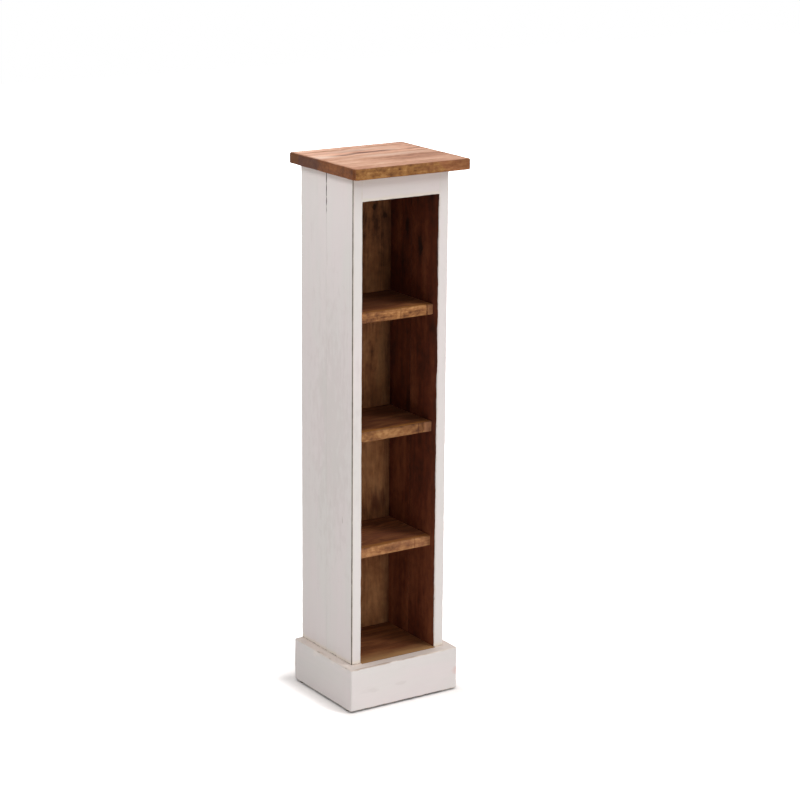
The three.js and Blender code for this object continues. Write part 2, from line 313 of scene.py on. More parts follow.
def plan_corner(point, corner, inward, radius):
    """Rounds one upright corner, seen from above: squares round its centre become circles."""
    centre = [corner[axis] + inward[axis] * radius for axis in range(2)]
    away = [(centre[axis] - point[axis]) * inward[axis] for axis in range(2)]
    if away[0] <= 0 or away[1] <= 0:
        return point
    scale = max(away) / math.hypot(*away)
    return [centre[axis] - inward[axis] * away[axis] * scale for axis in range(2)] + [point[2]]


class Board:
    """A dense closed mesh in the place of one board, with waves, worn arrises and dents.

    exposed are the faces whose arrises are worn round; the others meet another board. tongue is
    the face that reaches over to the next board inside a glued seam, so no light comes through.
    What a board has unless it is told otherwise comes first.
    """

    reach = arris_reach
    under_share = 1
    corners = ()
    square_plan = False
    mitre = None
    tongue = None
    opening_face = None
    stained = None
    flush_above = FAR
    flush_ends = False
    worn = {}
    worn_elsewhere = 0.3
    dents = ()
    extra = {}

    def __init__(self, node, grain, exposed, **options):
        self.node = node
        self.grain = grain
        self.exposed = exposed
        self.low, self.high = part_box(node)
        self.thickness = min(self.high - self.low)
        for name, value in options.items():
            setattr(self, name, value)

    def inset(self, point, face):
        axis, end = FACES[face]
        return self.high[axis] - point[axis] if end else point[axis] - self.low[axis]

    def reach_at(self, face, point):
        """How far the rounding goes in from a face, which wavers along the arris."""
        if face == self.opening_face:
            return closed_reach + self.opening(point)
        if self.flush_ends and face in ("x-", "x+"):
            return 0
        if face not in self.exposed:
            return 0 if self.mitre else tight_reach
        if self.flush_above < point[2] and self.inset(point, self.stained[0]) < self.thickness / 2:
            return flush_reach
        waver = noise.noise(Vector(point) * arris_waver_scale)
        share = self.under_share if face == "z-" else 1
        return self.reach * share * (1 + arris_waver * waver)

    def opening(self, point):
        """How far the side seam has opened at a point's height."""
        share = smooth_step(point[2], seam_open_from, seam_open_to)
        waver = noise.noise(Vector((0.3, 9 * self.low.y, point[2] * seam_waver_scale)))
        return seam_opening * share * max(seam_open_least, seam_open_usual + seam_open_waver * waver)

    def gap(self, point):
        """How much of the dark of an open seam shows at a point, from 0 to 1."""
        if not self.opening_face:
            return 0
        near = math.exp(-self.inset(point, self.opening_face) / seam_dark_reach)
        share = min(1, self.opening(point) / seam_opening)
        return near * (seam_dark_least + (1 - seam_dark_least) * share)

    def shaped(self, point):
        place = rounded(point, self.low, self.high, lambda face: self.reach_at(face, point),
                        self.square_plan)
        if self.opening_face:
            axis, end = FACES[self.opening_face]
            depth = math.exp(-self.inset(point, self.opening_face) / seam_flare_reach)
            place[axis] += (-1 if end else 1) * 0.5 * self.opening(point) * depth
        if self.tongue and self.inset(point, self.tongue) < on_face:
            axis, end = FACES[self.tongue]
            others = [self.inset(point, face) for face in FACES if FACES[face][0] != axis]
            if min(others) > tongue_from:
                place[axis] += (1 if end else -1) * tongue_reach
        if self.mitre:
            place = self.mitre(place, self.low, self.high)
        for corner_x, corner_y, radius in self.corners:
            corner = (self.outer(corner_x), self.outer(corner_y))
            inward = [-1 if FACES[face][1] else 1 for face in (corner_x, corner_y)]
            place = plan_corner(place, corner, inward, radius)
        return place

    def outer(self, face):
        axis, end = FACES[face]
        return (self.high if end else self.low)[axis]

    def arris_facts(self, point):
        """Distance to the nearest worn arris, how worn that one is, and distance to a joint."""
        exposed = sorted((self.inset(point, face), face) for face in self.exposed)
        first = exposed[0]
        second = next((pair for pair in exposed[1:] if pair[1][0] != first[1][0]), (FAR, ""))
        name = "".join(sorted((first[1], second[1])))
        joints = [self.inset(point, face) for face in FACES if face not in self.exposed]
        if self.flush_above < FAR:
            below = max(0, self.flush_above - point[2])
            joints.append(math.hypot(self.inset(point, self.stained[0]), below))
        return second[0], self.worn.get(name, self.worn_elsewhere), min(joints, default=FAR)

    def bare(self, point):
        """Below zero on painted faces, and on the stained face the distance from the paint's edge."""
        if self.stained is None:
            return -FAR
        face, edge = self.stained
        depth = self.inset(point, face)
        if self.flush_above < point[2] and self.inset(point, edge) < self.thickness - rail_end_margin:
            return -max(depth, paint_over_joint)
        if depth > on_face:
            return -depth
        return self.inset(point, edge) if edge else FAR

    def stretched(self, point, along, across):
        axis = AXES.index(self.grain)
        return Vector([value * (along if i == axis else across) for i, value in enumerate(point)])

    def build(self):
        lines = []
        for axis in range(3):
            insets = corner_insets if self.square_plan and axis < 2 else fine_insets
            spacing = along_spacing if AXES[axis] == self.grain else across_spacing
            lines.append(spread(self.low[axis], self.high[axis], spacing, insets,
                                self.extra.get(AXES[axis], ())))
        points, quads = box_grid(lines)
        mesh = bpy.data.meshes.new(self.node)
        mesh.from_pydata([self.shaped(point) for point in points], [], quads)
        mesh.polygons.foreach_set("use_smooth", [True] * len(mesh.polygons))
        mesh.set_sharp_from_angle(angle=math.radians(sharp_from_degrees))
        mesh.update()
        facts = [self.arris_facts(point) for point in points]
        self.weather(mesh, facts)
        self.dent(mesh, points)
        keep_values(mesh, "arris", [fact[0] for fact in facts])
        keep_values(mesh, "worn", [fact[1] for fact in facts])
        keep_values(mesh, "bare", [self.bare(point) for point in points])
        keep_values(mesh, "gap", [self.gap(point) for point in points])
        return add_object(self.node + "_shown", mesh)

    def weather(self, mesh, facts):
        """Adds the slight waves of a planed board and the knocks on its arrises."""
        moves = []
        for vertex, (arris, _, joint) in zip(mesh.vertices, facts):
            wave = wave_height * noise.noise(self.stretched(vertex.co, *wave_scale))
            ripple = ripple_height * noise.noise(self.stretched(vertex.co, *ripple_scale))
            hit = max(0, noise.noise(vertex.co * knock_scale) - knock_start)
            knock = knock_depth * hit * math.exp(-((arris / knock_reach) ** 2))
            moves.append(vertex.normal * (wave + ripple - knock) * min(1, joint / held_reach))
        for vertex, move in zip(mesh.vertices, moves):
            vertex.co += move

    def dent(self, mesh, points):
        """Presses in the surface round the fasteners whose heads show on one face."""
        for face, centre, radius, depth_at in self.dents:
            axis, end = FACES[face]
            others = [i for i in range(3) if i != axis]
            for vertex, point in zip(mesh.vertices, points):
                if self.inset(point, face) > on_face:
                    continue
                distance = math.hypot(*[point[i] - centre[i] for i in others])
                if distance < radius:
                    vertex.co[axis] += (-1 if end else 1) * depth_at(distance)


def add_object(name, data):
    made = bpy.data.objects.new(name, data)
    bpy.context.scene.collection.objects.link(made)
    return made


def keep_values(mesh, name, values):
    attribute = mesh.attributes.new(name, "FLOAT", "POINT")
    attribute.data.foreach_set("value", values)


def front_mitre(place, low, high):
    """Cuts both ends of the front board back at 45 degrees."""
    behind = place[1] - low[1]
    return [place[0] * (high[0] - behind) / high[0], place[1], place[2]]


def side_mitre(place, low, high):
    """Cuts the front end of a side board back at 45 degrees."""
    inside = place[0] - low[0] if low[0] < 0 else high[0] - place[0]
    share = (high[1] - place[1]) / (high[1] - low[1])
    return [place[0], high[1] - share * (high[1] - low[1] - inside), place[2]]


# Materials
class Nodes:
    """A node tree, filled by short calls that return sockets."""

    def __init__(self, owner):
        owner.use_nodes = True
        self.tree = owner.node_tree
        self.tree.nodes.clear()

    def node(self, kind, inputs=(), **settings):
        made = self.tree.nodes.new(kind)
        for name, value in settings.items():
            setattr(made, name, value)
        for name, value in dict(inputs).items():
            if isinstance(value, bpy.types.NodeSocket):
                self.tree.links.new(value, made.inputs[name])
            else:
                made.inputs[name].default_value = value
        return made

    def math(self, operation, first, second=0.0, third=0.0):
        inputs = {0: first, 1: second, 2: third}
        return self.node("ShaderNodeMath", inputs, operation=operation).outputs[0]

    def plus(self, value, amount, other):
        """The value plus so much of the other one."""
        return self.math("MULTIPLY_ADD", other, amount, value)

    def times(self, *factors):
        product = factors[0]
        for factor in factors[1:]:
            product = self.math("MULTIPLY", product, factor)
        return product

    def vector(self, operation, first, second):
        return self.node("ShaderNodeVectorMath", {0: first, 1: second}, operation=operation).outputs[0]

    def scaled(self, vector, factor):
        inputs = {0: vector, "Scale": factor}
        return self.node("ShaderNodeVectorMath", inputs, operation="SCALE").outputs[0]

    def length(self, vector):
        return self.node("ShaderNodeVectorMath", {0: vector}, operation="LENGTH").outputs["Value"]

    def value_of(self, name):
        return self.node("ShaderNodeAttribute", attribute_name=name).outputs["Fac"]

    def mix(self, share, first, second):
        return self.node("ShaderNodeMix", {0: share, 6: first, 7: second}, data_type="RGBA").outputs[2]

    def blend(self, share, first, second):
        return self.node("ShaderNodeMix", {0: share, 2: first, 3: second}, data_type="FLOAT").outputs[0]

    def step(self, value, start, end, low=0.0, high=1.0):
        """Turns a value smoothly from low at start to high at end."""
        inputs = {"Value": value, "From Min": start, "From Max": end, "To Min": low, "To Max": high}
        return self.node("ShaderNodeMapRange", inputs, interpolation_type="SMOOTHSTEP").outputs["Result"]

    def near(self, value, edge, reach, share=1.0):
        """Turns from 0 to share between the two distances of reach, counted from an edge."""
        return self.step(value, edge + reach[0], edge + reach[1], 0.0, share)

    def seen(self):
        """1 for what the camera, a reflection or glass sees, and 0 for the light that falls on things."""
        rays = self.node("ShaderNodeLightPath").outputs
        seen = self.math("MAXIMUM", rays["Is Camera Ray"], rays["Is Glossy Ray"])
        return self.math("MAXIMUM", seen, rays["Is Transmission Ray"])

    def end(self, kind, shader):
        self.tree.links.new(shader.outputs[0], self.node(kind).inputs["Surface"])

    def ramp(self, value, *stops):
        made = self.node("ShaderNodeValToRGB", {"Fac": value})
        elements = made.color_ramp.elements
        while len(elements) < len(stops):
            elements.new(0.5)
        for element, (position, colour) in zip(elements, stops):
            element.position = position
            element.color = colour
        return made.outputs["Color"]


class Finish(Nodes):
    """One material. Its noise and its spots are drawn out along the grain."""

    def __init__(self, name, grain="z", seed=(0, 0, 0)):
        self.material = bpy.data.materials.new(name)
        super().__init__(self.material)
        self.grain = grain
        self.seed = seed
        self.place = self.node("ShaderNodeTexCoord").outputs["Object"]
        self.figured = self.place
        self.x, self.y, self.z = self.node("ShaderNodeSeparateXYZ", {0: self.place}).outputs[:3]

    def noise(self, along, across, detail=2.0, roughness=0.5):
        """Noise of so many turns a metre along and across the grain, round 0 and mostly within 1."""
        scale = [across] * 3
        scale[AXES.index(self.grain)] = along
        place = self.vector("ADD", self.vector("MULTIPLY", self.figured, scale), self.seed)
        inputs = {"Vector": place, "Scale": 1.0, "Detail": detail, "Roughness": roughness}
        made = self.node("ShaderNodeTexNoise", inputs)
        return self.math("MULTIPLY_ADD", made.outputs["Fac"], 4.0, -2.0)

    def uneven(self, value, amount, along, across, detail=2.0, roughness=0.5):
        """A value that noise moves to and fro by about so much."""
        return self.plus(value, amount, self.noise(along, across, detail, roughness))

    def sway(self, amount):
        """From here on, noise and spots follow a grain that sways sideways by so much."""
        sideways = [0 if axis == self.grain else 1 for axis in AXES]
        moved = self.scaled(sideways, self.times(self.noise(8, 9), amount))
        self.figured = self.vector("ADD", self.place, moved)

    def spot(self, centre, radius, length=1.0):
        """Distance from a point in radii, with the spot drawn out along the grain."""
        scale = [1 / radius] * 3
        scale[AXES.index(self.grain)] /= length
        away = self.vector("SUBTRACT", self.figured, centre)
        return self.length(self.vector("MULTIPLY", away, scale))

    def close(self, colour, roughness, height, depth, constants=()):
        """Ends the material. A height of 1 is depth metres."""
        bump = self.node("ShaderNodeBump", {"Height": height, "Distance": depth, "Strength": 1.0})
        inputs = {"Base Color": colour, "Roughness": roughness, "Normal": bump.outputs["Normal"]}
        inputs.update(constants)
        self.end("ShaderNodeOutputMaterial", self.node("ShaderNodeBsdfPrincipled", inputs))
        return self.material


def wood(finish, tones, pith, bands=1.0, blotches=1.0, rings=0.35, fibres=0.6, specks=0.0,
         lift=0.0, knots=(), streaks=()):
    """Colour and height of sawn and stained wood.

    tones are its dark, middle and light colours. pith is a point of the line, along the grain,
    that its rings go round. lift makes it all lighter or darker. knots are (place, radius, length,
    strength), and streaks are (place, half width, length, colour, strength), drawn out along the grain.
    """
    across = [axis for axis in range(3) if AXES[axis] != finish.grain]
    finish.sway(grain_sway)
    bend = finish.noise(5, 16)
    squares = 0.0
    for number, axis in enumerate(across):
        away = finish.math("SUBTRACT", (finish.x, finish.y, finish.z)[axis], pith[axis])
        away = finish.plus(away, pith_bends[number], bend)
        squares = finish.plus(squares, away, away)
    turns = finish.math("DIVIDE", finish.math("SQRT", squares), ring_gap)
    turns = finish.uneven(turns, 0.9, 4, 40, 3.0)
    late = finish.math("SINE", finish.times(turns, 2 * math.pi))
    grain = finish.noise(26, 1100, 3.0, 0.6)
    tone = finish.plus(finish.math("ADD", lift, 0.5), -0.1 * rings, late)
    tone = finish.plus(tone, 0.1 * fibres, grain)
    tone = finish.uneven(tone, 0.17 * bands, 2.2, 95, 4.0, 0.62)
    tone = finish.uneven(tone, 0.15 * blotches, 11, 34, 3.0, 0.6)
    if specks:
        tone = finish.uneven(tone, 0.3 * specks, 110, 150, 4.0, 0.62)
    dark, middle, light = tones
    colour = finish.ramp(tone, (0.14, dark), (0.5, middle), (0.86, light))
    pores = finish.step(finish.noise(90, 2600, 1.0), 0.55, 1.1)
    colour = finish.mix(finish.times(pores, 0.4 * fibres), colour, dark)
    for place, half_width, length, stain, strength in streaks:
        frayed = finish.uneven(finish.spot(place, half_width, length), 0.5, 22, 150, 3.0)
        colour = finish.mix(finish.step(frayed, 1.5, 0.2, 0.0, strength), colour, stain)
    finish.figured = finish.place
    knot_colour = shaded([dark], 0.3)[0]
    for place, radius, length, strength in knots:
        frayed = finish.uneven(finish.spot(place, radius, length), 0.6, 150, 240, 4.0)
        halo = finish.step(frayed, 2.6, 0.6, 0.0, 0.55 * strength)
        colour = finish.mix(halo, colour, dark)
        colour = finish.mix(finish.step(frayed, 1.2, 0.5, 0.0, strength), colour, knot_colour)
    height = finish.plus(finish.times(late, 0.2 * rings), 0.3, grain)
    height = finish.plus(height, -0.6, pores)
    return colour, height


def paint(finish):
    """Colour and height of a brushed white coat through which a little of the grain shows."""
    cloud = finish.noise(5, 13, 3.0)
    brushed = finish.noise(6, 130, 3.0, 0.55)
    grain = finish.noise(14, 420, 2.0)
    shade = finish.plus(1.0, 0.016, cloud)
    shade = finish.plus(shade, 0.012, brushed)
    shade = finish.plus(shade, 0.004, grain)
    tint = finish.step(finish.noise(7, 24, 3.0), -0.7, 0.7)
    coat = finish.scaled(finish.mix(tint, paint_white, paint_greenish), shade)
    smudge = finish.step(finish.noise(16, 45, 4.0, 0.65), 0.3, 1.4, 0.0, 0.3)
    coat = finish.mix(smudge, coat, smudge_and_shade)
    height = finish.plus(finish.times(brushed, 0.3), 0.12, grain)
    return coat, height


# Colours
paint_white = srgb(231, 222, 221)
paint_greenish = srgb(228, 223, 220)
# Smudges in the paint, and the painted shade on the left side
smudge_and_shade = srgb(196, 184, 180)
paint_aged = srgb(214, 197, 176)
# Painted warm bounce light at the foot of the painted boards
painted_warm_bounce = srgb(232, 220, 198)
ledge_rubbed = srgb(150, 120, 104)
ledge_tan = srgb(234, 217, 205)
# Painted light on the left ledge of the plinth
painted_ledge_light = srgb(250, 238, 230)
stain_pink = srgb(214, 150, 136)
under_paint = srgb(90, 82, 77)
foot_dark = srgb(84, 74, 68)
top_tones = [srgb(160, 108, 84), srgb(222, 169, 141), srgb(247, 209, 185)]
top_orange_tones = [srgb(157, 102, 76), srgb(219, 162, 131), srgb(245, 203, 175)]
top_front_tones = [srgb(84, 48, 24), srgb(155, 107, 60), srgb(204, 154, 97)]
top_end_tones = [srgb(62, 33, 17), srgb(115, 68, 38), srgb(150, 96, 56)]
plum_stain = srgb(102, 62, 52)
tan_streak = srgb(176, 118, 84)
plum_end = srgb(66, 40, 34)
orange_end = srgb(88, 52, 22)
redder_edge = srgb(166, 108, 74)
redder_edge_dark = srgb(122, 72, 47)
pale_top = srgb(250, 218, 198)
back_tones = [srgb(76, 44, 28), srgb(154, 102, 64), srgb(200, 145, 98)]
# Painted shade in the inner corners of the compartments
painted_corner_shade = srgb(58, 27, 16)
wall_tones = [srgb(38, 13, 8), srgb(90, 40, 22), srgb(128, 72, 44)]
wall_front = srgb(120, 66, 42)
shelf_top_tones = [srgb(58, 31, 20), srgb(116, 70, 43), srgb(168, 114, 70)]
shelf_edge_tones = [srgb(80, 46, 25), srgb(142, 96, 57), srgb(190, 140, 90)]
shelf_line = srgb(74, 38, 24)
# Painted light along the shelves' fronts, and painted shade towards their backs
painted_shelf_front_light = srgb(172, 114, 56)
painted_shelf_rear_shade = srgb(78, 42, 28)
shelf_blush = srgb(150, 94, 70)
shelf_edge_blush = srgb(172, 120, 94)
back_red = srgb(112, 60, 40)
back_red_dark = srgb(88, 42, 28)
back_olive = srgb(178, 130, 84)
shelf_block = srgb(168, 118, 88)
floor_front_tan = srgb(188, 144, 98)
sill_line = srgb(96, 58, 36)
# Pads, dowels, and screws and nails: dark and light, mottles a metre, roughness, relief, constants
small_looks = {
    "felt": (srgb(70, 62, 56), srgb(104, 94, 86), 2400, 0.95, 0.15 * MM, {"Sheen Weight": 0.4}),
    "beech": (srgb(196, 152, 108), srgb(222, 184, 142), 900, 0.6, 0.05 * MM, {}),
    "steel": (srgb(84, 82, 80), srgb(126, 123, 119), 1500, 0.46, 0.02 * MM, {"Metallic": 1.0}),
}
floor_colour = srgb(232, 228, 224)
floor_near_colour = (1.25, 1.21, 1.19, 1)
floor_far_colour = (2.2, 2.18, 2.16, 1)


def painted_material(board, seed, pith, knots=(), ledge=None, marks=(), pale_from=None):
    """White paint, rubbed through at worn arrises, over a board with a stained inner face.

    ledge is the height of a top face that the paint has mostly left. marks are
    (place, radius, length, colour, strength) on the paint. pale_from is the y of the front
    arris, behind which the stained face is a little paler.
    """
    finish = Finish(board.node + "_finish", board.grain, seed)
    colour, height = paint(finish)
    arris = finish.value_of("arris")
    patchy = finish.noise(70, 110, 3.0, 0.6)
    rub = finish.plus(finish.value_of("worn"), 0.22, patchy)
    if ledge:
        left = finish.uneven(0.72, 0.25, 30, 70, 3.0, 0.6)
        colour = finish.mix(finish.times(finish.near(finish.z, ledge, paint_gone_at_ledge), left),
                            colour, ledge_tan)
        foot = finish.plus(finish.z, foot_waver, patchy)
        colour = finish.mix(finish.near(foot, board.low.z, ledge_foot_line), colour, foot_dark)
    else:
        above = finish.plus(finish.z, cream_waver, patchy)
        # Painted warm bounce light near the board's foot
        colour = finish.mix(finish.near(above, board.low.z, warm_bounce_reach, 0.5), colour, painted_warm_bounce)
        colour = finish.mix(finish.near(above, board.low.z, joint_line, 0.6), colour, under_paint)
    for place, radius, length, stain, strength in marks:
        frayed = finish.uneven(finish.spot(place, radius, length), 0.8, 60, 140, 3.0)
        colour = finish.mix(finish.step(frayed, 1.4, 0.3, 0.0, strength), colour, stain)
    aged = finish.times(finish.step(rub, 0.15, 0.55), finish.step(arris, *aged_paint))
    colour = finish.mix(finish.times(aged, 0.45), colour, paint_aged)
    broken = finish.uneven(rub, 0.2, 190, 120, 2.0)
    uneven = finish.plus(arris, rub_waver, patchy)
    through = finish.times(finish.step(broken, 0.46, 0.66), finish.step(uneven, *rubbed_through))
    through = finish.math("MAXIMUM", through, finish.step(finish.value_of("gap"), 0.2, 0.6))
    colour = finish.mix(through, colour, under_paint)
    height = finish.plus(height, -1.5, through)
    roughness = finish.plus(0.5, 0.3, through)
    if board.stained:
        # The stained inner face gets the painted shade that darkens it towards the top
        bare_wood, wood_height = wood(finish, wall_tones, pith, rings=0.2, bands=0.85, blotches=2.0,
                                      fibres=0.3, specks=0.4, lift=painted_inside_shade(finish), knots=knots)
        if pale_from:
            pale = finish.near(finish.y, pale_from, paler_wall, 0.18)
            bare_wood = finish.mix(pale, bare_wood, wall_front)
        wobble = finish.uneven(finish.value_of("bare"), paint_edge_waver, 30, 30, 3.0, 0.6)
        bare = finish.step(wobble, *paint_edge)
        colour = finish.mix(bare, colour, bare_wood)
        height = finish.blend(bare, height, wood_height)
        roughness = finish.plus(roughness, 0.08, bare)
    return finish.close(colour, roughness, height, paint_relief, {"Specular IOR Level": paint_gloss})


def painted_inside_shade(finish):
    """Painted shade inside: the wood is made darker towards the top of the tower and lighter below."""
    return finish.step(finish.z, *painted_shade_heights, *painted_shade_lifts)


def wood_material(board, seed, tones, pith, rim=None, inside=False, **figure):
    """Stained wood, darker along its worn arrises. rim(finish, colour) adds what is special to it."""
    finish = Finish(board.node + "_finish", board.grain, seed)
    # Inside the tower, the painted shade darkens the wood towards the top
    lift = painted_inside_shade(finish) if inside else 0.0
    colour, height = wood(finish, tones, pith, lift=lift, **figure)
    if rim:
        colour = rim(finish, colour)
    rub = finish.uneven(finish.value_of("worn"), 0.25, 60, 90, 3.0)
    at_arris = finish.step(finish.value_of("arris"), *rubbed_wood)
    rubbed = finish.times(finish.step(rub, 0.1, 0.6), at_arris)
    colour = finish.mix(finish.times(rubbed, 0.5), colour, shaded(tones, 0.6)[0])
    roughness = finish.uneven(0.56, 0.05, 20, 200)
    return finish.close(colour, roughness, height, wood_relief, {"Specular IOR Level": wood_gloss})


def plain_material(name, dark, light, scale, roughness, depth, constants):
    """A small piece's finish: two tones mottled by fine noise, with a fine relief."""
    finish = Finish(name)
    mottle = finish.noise(scale, scale, 3.0, 0.6)
    colour = finish.mix(finish.step(mottle, -0.8, 0.8), dark, light)
    rough = finish.plus(roughness, 0.08, mottle)
    return finish.close(colour, rough, mottle, depth, constants)


# Pieces
def dress(board, material):
    piece = board.build()
    piece.data.materials.append(material)
    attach(piece, "root")
    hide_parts(board.node)


def centre_of(node):
    low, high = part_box(node)
    return (low + high) / 2


def top_rim(board):
    """The sawn edges of the top: speckled yellow in front, three browns at the left end."""
    def colour_rim(finish, colour):
        edge, _ = wood(finish, top_front_tones, top_front_pith, specks=1.0, bands=0.5, blotches=1.1)
        end, _ = wood(finish, top_end_tones, top_front_pith, specks=0.7, bands=0.4)
        boundary = finish.plus(finish.x, rim_diagonal_slope, finish.z)
        boundary = finish.uneven(boundary, rim_change_waver, 110, 180, 4.0, 0.6)
        past = rim_diagonal_x + rim_diagonal_slope * board.high.z
        redder = finish.near(boundary, past, redder_past, 0.7)
        blush = finish.step(finish.noise(35, 60, 3.0, 0.6), 0.1, 0.9, 0.0, 0.45)
        red_tone = finish.step(finish.noise(45, 170, 4.0, 0.62), -0.7, 0.8)
        red = finish.mix(red_tone, redder_edge_dark, redder_edge)
        edge = finish.mix(finish.math("MAXIMUM", redder, blush), edge, red)
        across = finish.uneven(finish.y, rim_change_waver, 60, 60, 3.0)
        plum = finish.times(finish.near(across, plum_end_y[0], plum_begins),
                            finish.near(across, plum_end_y[1], plum_ends))
        end = finish.mix(finish.times(plum, 0.7), end, plum_end)
        rearmost = finish.near(across, plum_end_y[1], orange_begins, 0.8)
        end = finish.mix(rearmost, end, orange_end)
        to_side = finish.math("ABSOLUTE", finish.x)
        rim = finish.mix(finish.near(to_side, cad_high.x, end_face), edge, end)
        ragged = finish.uneven(finish.z, rim_waver, 70, 90, 3.0)
        below = finish.near(ragged, board.high.z, rim_below)
        inward = finish.uneven(to_side, tan_waver, 60, 60, 3.0)
        colour = finish.mix(finish.near(inward, cad_high.x, tan_near_end, 0.6), colour, tan_streak)
        over = finish.uneven(finish.value_of("arris"), over_waver, 45, 60, 3.0)
        on_rim = finish.math("MAXIMUM", below, finish.step(over, *rim_round_arris))
        return finish.mix(on_rim, colour, rim)
    return colour_rim


def make_top():
    rounding = dict(reach=top_arris_reach, under_share=0.5, square_plan=True, worn_elsewhere=0.45,
                    worn={"x-z+": 0.95})
    front = Board("top_board_front", "x", ("x-", "x+", "y-", "z-", "z+"), tongue="y+",
                  corners=(("x-", "y-", top_near_radius), ("x+", "y-", top_corner_radius)), **rounding)
    rear = Board("top_board_rear", "x", ("x-", "x+", "y+", "z-", "z+"),
                 corners=(("x-", "y+", top_corner_radius), ("x+", "y+", top_corner_radius)), **rounding)
    seam_y = front.high.y
    top_z = front.high.z
    streaks = [
        ((-0.040, seam_y + 0.007, top_z), 3.6 * MM, 6, plum_stain, 0.85),
        ((-0.012, seam_y + 0.012, top_z), 4.2 * MM, 4.5, plum_stain, 0.9),
        ((0.020, seam_y + 0.015, top_z), 3.8 * MM, 6, plum_stain, 0.8),
        ((0.018, seam_y - 0.03, top_z), 1.6 * MM, 6, plum_stain, 0.4),
        ((0.055, seam_y + 0.048, top_z), 4.5 * MM, 10, tan_streak, 0.75),
        ((-0.05, seam_y + 0.045, top_z), 3.0 * MM, 12, tan_streak, 0.5),
        ((0.05, seam_y + 0.022, top_z), 2.4 * MM, 9, tan_streak, 0.35),
        ((-0.082, seam_y + 0.004, top_z), 10 * MM, 3, pale_top, 0.65),
        ((0.015, seam_y - 0.018, top_z), 9 * MM, 6, pale_top, 0.55),
        ((0.0, seam_y + 0.034, top_z), 8 * MM, 9, pale_top, 0.5),
    ]
    knot = ((-0.0651, front.low.y, 0.7475), 2.0 * MM, 1.3, 0.85)
    halves = ((front, top_orange_tones, (3.1, 0.4, 7.7), top_front_pith, 1.4),
              (rear, shaded(top_tones, 1.2), (8.3, 5.2, 1.9), top_rear_pith, 2.0))
    for board, tones, seed, pith, bands in halves:
        material = wood_material(board, seed, tones, pith, top_rim(board), rings=0.45, fibres=0.8,
                                 bands=bands, blotches=1.9, specks=0.35, knots=[knot], streaks=streaks)
        dress(board, material)


def make_sides():
    rail_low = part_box("top_rail")[0].z
    scratch = ((-0.075, -0.030, 0.263), 1.0 * MM, 5, smudge_and_shade, 0.8)
    # Painted shade over the middle of the left side
    painted_side_shade = ((-0.075, 0.0, 0.38), 45 * MM, 3.5, smudge_and_shade, 0.2)
    seeds = {"left": ((1.7, 6.1, 2.2), (9.2, 3.3, 4.8)), "right": ((5.5, 0.9, 8.1), (2.6, 7.4, 6.6))}
    for side, outer, inner in (("left", "x-", "x+"), ("right", "x+", "x-")):
        left = side == "left"
        opening = ("y+", "y-") if left else (None, None)
        worn = {outer + "y-": 0.85 if left else 0.2, inner + "y-": 0.32}
        front = Board(f"{side}_side_front_board", "z", (outer, inner, "y-"), opening_face=opening[0],
                      worn=worn, stained=(inner, "y-"), flush_above=rail_low, tongue="y+",
                      extra={"z": [rail_low + line for line in rail_joint_lines]})
        rear = Board(f"{side}_side_rear_board", "z", (outer, inner, "y+"), opening_face=opening[1],
                     worn_elsewhere=0.2, stained=(inner, None))
        wall_x = front.outer(inner)
        knots = []
        if not left:
            knots = [((wall_x, 0.0221, 0.6455), 5 * MM, 2.2, 0.8),
                     ((wall_x, -0.0102, 0.6235), 5 * MM, 2.5, 0.8)]
        marks = [painted_side_shade, scratch] if left else []
        material = painted_material(front, seeds[side][0], (wall_x * 1.6, -0.01, 0), knots, marks=marks,
                                    pale_from=front.low.y)
        dress(front, material)
        material = painted_material(rear, seeds[side][1], (wall_x * 1.5, 0.05, 0), knots, marks=marks[:1])
        dress(rear, material)


def make_rail():
    rail = Board("top_rail", "x", ("y-", "y+", "z-"), stained=("y+", "z-"), worn_elsewhere=0.1,
                 flush_ends=True)
    dress(rail, painted_material(rail, (4.4, 8.8, 0.7), (0, -0.02, 0.66)))


def nail_dent(distance):
    return nail_dent_depth * (1 - smooth_step(distance, 0.5 * nail_dent_radius, nail_dent_radius))


def make_back():
    for side, seed, pith in (("left", (6.9, 2.1, 3.5), -0.02), ("right", (0.6, 4.7, 9.4), 0.035)):
        nails = [centre_of(f"{shelf}_shelf_nail_{side}") for shelf in ("upper", "middle", "lower")]
        extra = {
            "x": [nails[0].x + line for line in dent_lines],
            "z": [centre.z + line for centre in nails for line in dent_lines],
        }
        dents = [("y+", centre, nail_dent_radius, nail_dent) for centre in nails]
        board = Board(f"back_board_{side}", "z", ("y-", "y+"), dents=dents, extra=extra,
                      tongue="x+" if side == "left" else None)
        knots, streaks = [], []
        if side == "right":
            knots = [((0.0329, board.low.y, 0.6669), 3 * MM, 1.4, 0.8),
                     ((0.0496, board.low.y, 0.6536), 3.5 * MM, 1.4, 0.9)]
            streaks = [((0.044, board.low.y, 0.245), 12 * MM, 1.7, back_red_dark, 0.8),
                       ((0.046, board.low.y, 0.455), 11 * MM, 4.5, back_olive, 0.45),
                       ((0.030, board.low.y, 0.515), 2.2 * MM, 9, back_red_dark, 0.7)]
        material = wood_material(board, seed, back_tones, (pith, 0.09, 0), back_rim(board), bands=0.7,
                                 blotches=2.1, fibres=0.35, specks=0.35, inside=True, knots=knots,
                                 streaks=streaks)
        dress(board, material)


